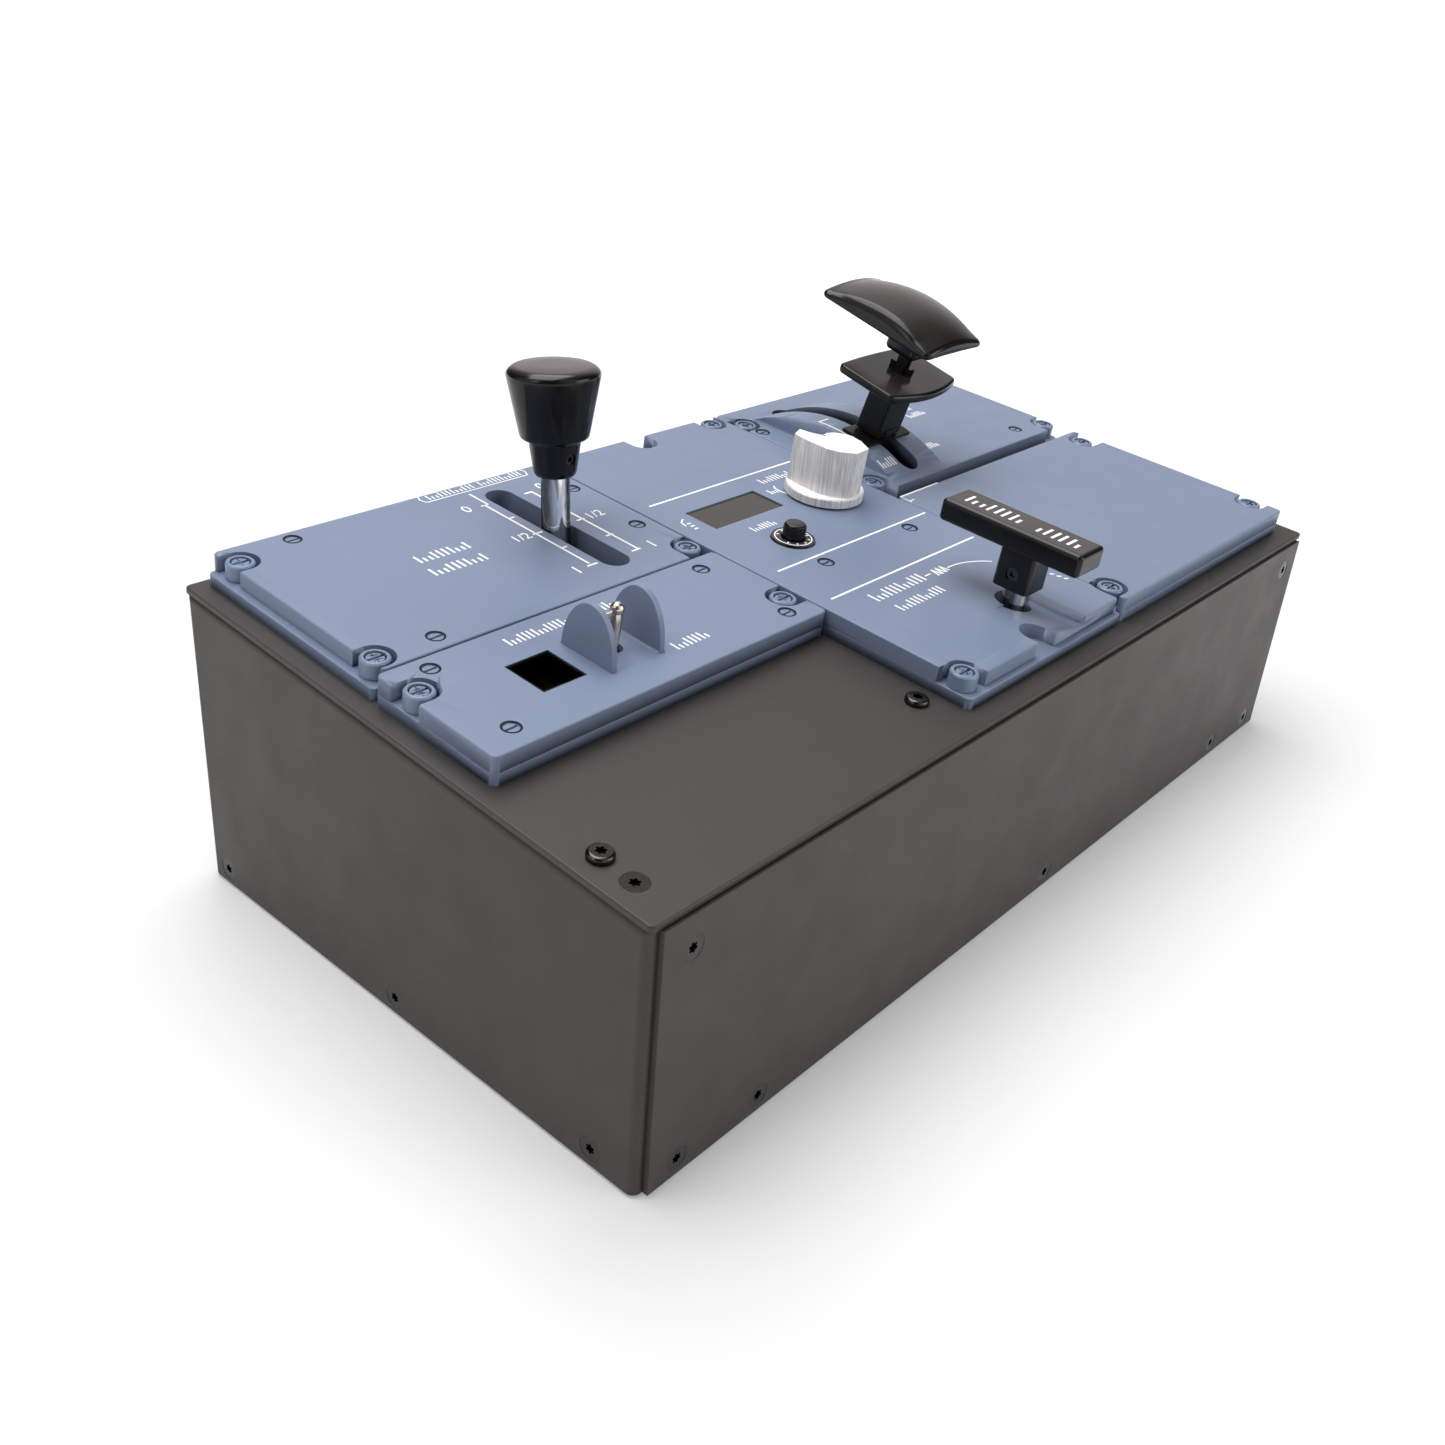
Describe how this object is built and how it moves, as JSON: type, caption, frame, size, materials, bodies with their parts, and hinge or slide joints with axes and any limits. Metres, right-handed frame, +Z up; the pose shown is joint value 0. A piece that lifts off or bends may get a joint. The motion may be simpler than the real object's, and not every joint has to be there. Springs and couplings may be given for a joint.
{
  "type": "flight simulator console",
  "caption": "Desktop flight simulator side console: a sloped metal box with blue panels, speed brake and flap levers, trim knob, push dial, parking brake handle and a guarded toggle.",
  "frame": {"origin": "middle of the footprint, on the surface that the feet stand on", "axes": "+X to the user's right along the box's length, +Y away from the user, +Z up"},
  "size_m": [0.41, 0.212, 0.1857],
  "materials": {
    "case_black": "satin black powder coat",
    "panel_blue": "satin blue-grey paint",
    "base_blue": "satin blue-grey paint",
    "black_screws": "black oxide",
    "panel_screw_steel": "painted with the panel",
    "handle_black": "gloss black",
    "lever_black": "satin black",
    "polished_steel": "polished",
    "zinc_steel": "zinc plated",
    "hub_aluminium": "turned and brushed",
    "gear_plastic": "moulded",
    "inner_plastic": "moulded",
    "shaft_steel": "turned",
    "dark_glass": "smoked",
    "board_green": "solder resist",
    "spacer_brass": "turned",
    "inlet_metal": "plated",
    "foot_rubber": "moulded"
  },
  "bodies": {
    "console": {"bottom_tray": "case_black", "left_panel": "case_black", "right_panel": "case_black", "top_plate": "case_black", "front_panel": "case_black", "rear_panel": "case_black", "speed_brake_top_layer": "panel_blue", "door_top_layer": "panel_blue", "centre_top_layer": "panel_blue", "flap_top_layer": "panel_blue", "blank_top_layer": "panel_blue", "toggle_guard": "panel_blue", "speed_brake_base": "base_blue", "door_base": "base_blue", "centre_base": "base_blue", "flap_base": "base_blue", "blank_base": "base_blue", "stud_collars": "base_blue", "quarter_turn_studs": "base_blue", "case_screws": "black_screws", "deck_screws": "black_screws", "panel_screws": "panel_screw_steel", "dial_ring": "handle_black", "speed_brake_bracket": "zinc_steel", "flap_bracket": "zinc_steel", "lever_pivot_pins": "zinc_steel", "speed_brake_sensor": "inner_plastic", "flap_sensor": "inner_plastic", "trim_encoder": "inner_plastic", "dial_switch": "inner_plastic", "park_switch": "inner_plastic", "toggle_switch": "inner_plastic", "display_module": "inner_plastic", "indicator_lamp": "inner_plastic", "display_window": "dark_glass", "controller_board": "board_green", "board_spacers": "spacer_brass", "usb_inlet": "inlet_metal", "rubber_feet": "foot_rubber"},
    "speed_brake_lever": {"speed_brake_hub": "hub_aluminium"},
    "speed_brake_handle": {"speed_brake_rod": "polished_steel", "speed_brake_knob": "handle_black", "speed_brake_grub_screw": "black_screws"},
    "speed_brake_sensor_gear": {"speed_brake_pinion": "gear_plastic"},
    "flap_lever": {"flap_arm": "lever_black", "flap_grip": "handle_black", "flap_pointer": "lever_black", "flap_trigger_springs": "zinc_steel"},
    "flap_latch": {"flap_trigger": "handle_black", "flap_trigger_pin": "polished_steel"},
    "flap_sensor_gear": {"flap_pinion": "gear_plastic"},
    "trim": {"trim_knob": "hub_aluminium", "trim_shaft": "shaft_steel"},
    "dial_plunger": {"dial_stem": "shaft_steel"},
    "dial_knob": {"dial_cap": "handle_black"},
    "park_slider": {"park_lift_collar": "zinc_steel"},
    "park_brake": {"park_post": "polished_steel", "park_handle": "handle_black", "park_grub_screw": "black_screws"},
    "toggle": {"toggle_bat": "polished_steel"}
  },
  "joints": [
    {"name": "speed_brake_turn", "type": "hinge", "parent": "console", "child": "speed_brake_lever", "pos_m": [-0.086, 0.05384, 0.0513], "axis": [1, 0, 0], "range_deg": [-21, 24]},
    {"name": "speed_brake_lift", "type": "slide", "parent": "speed_brake_lever", "child": "speed_brake_handle", "axis": [0, 0.0523, 0.9986], "range_m": [0, 0.006]},
    {"name": "speed_brake_sensor_turn", "type": "hinge", "parent": "console", "child": "speed_brake_sensor_gear", "pos_m": [-0.086, 0.05628, 0.02501], "axis": [1, 0, 0], "range_deg": [-66, 58]},
    {"name": "flap_turn", "type": "hinge", "parent": "console", "child": "flap_lever", "pos_m": [0.082, 0.05942, 0.05181], "axis": [1, 0, 0], "range_deg": [-30, 9]},
    {"name": "flap_trigger_lift", "type": "slide", "parent": "flap_lever", "child": "flap_latch", "axis": [0, -0.2756, 0.9613], "range_m": [0, 0.005], "stiffness_N_per_m": 400, "springref_m": -0.003, "deforming": ["flap_trigger_springs"]},
    {"name": "flap_sensor_turn", "type": "hinge", "parent": "console", "child": "flap_sensor_gear", "pos_m": [0.082, 0.06185, 0.02553], "axis": [1, 0, 0], "range_deg": [-26, 82]},
    {"name": "trim_turn", "type": "hinge", "parent": "console", "child": "trim", "pos_m": [0.026, 0.02375, 0.10394], "axis": [0, -0.0924, 0.9957], "range_deg": [-45, 45], "stiffness_Nm_per_rad": 0.08},
    {"name": "dial_push", "type": "slide", "parent": "console", "child": "dial_plunger", "axis": [0, -0.0924, 0.9957], "range_m": [-0.0015, 0], "stiffness_N_per_m": 900, "springref_m": 0.0006},
    {"name": "dial_turn", "type": "hinge", "parent": "dial_plunger", "child": "dial_knob", "pos_m": [-0.0176, 0.00403, 0.10211], "axis": [0, -0.0924, 0.9957], "range_deg": [-150, 150]},
    {"name": "park_lift", "type": "slide", "parent": "console", "child": "park_slider", "axis": [0, -0.0924, 0.9957], "range_m": [0, 0.006]},
    {"name": "park_turn", "type": "hinge", "parent": "park_slider", "child": "park_brake", "pos_m": [0.0135, -0.07184, 0.09508], "axis": [0, -0.0924, 0.9957], "range_deg": [0, 90]},
    {"name": "toggle_tilt", "type": "hinge", "parent": "console", "child": "toggle", "pos_m": [-0.1295, -0.01442, 0.10402], "axis": [1, 0, 0], "range_deg": [-14, 14]}
  ],
  "couplings": [
    {"joint": "speed_brake_sensor_turn", "follows": "speed_brake_turn", "ratio": -2.6667},
    {"joint": "flap_sensor_turn", "follows": "flap_turn", "ratio": -2.6667}
  ]
}
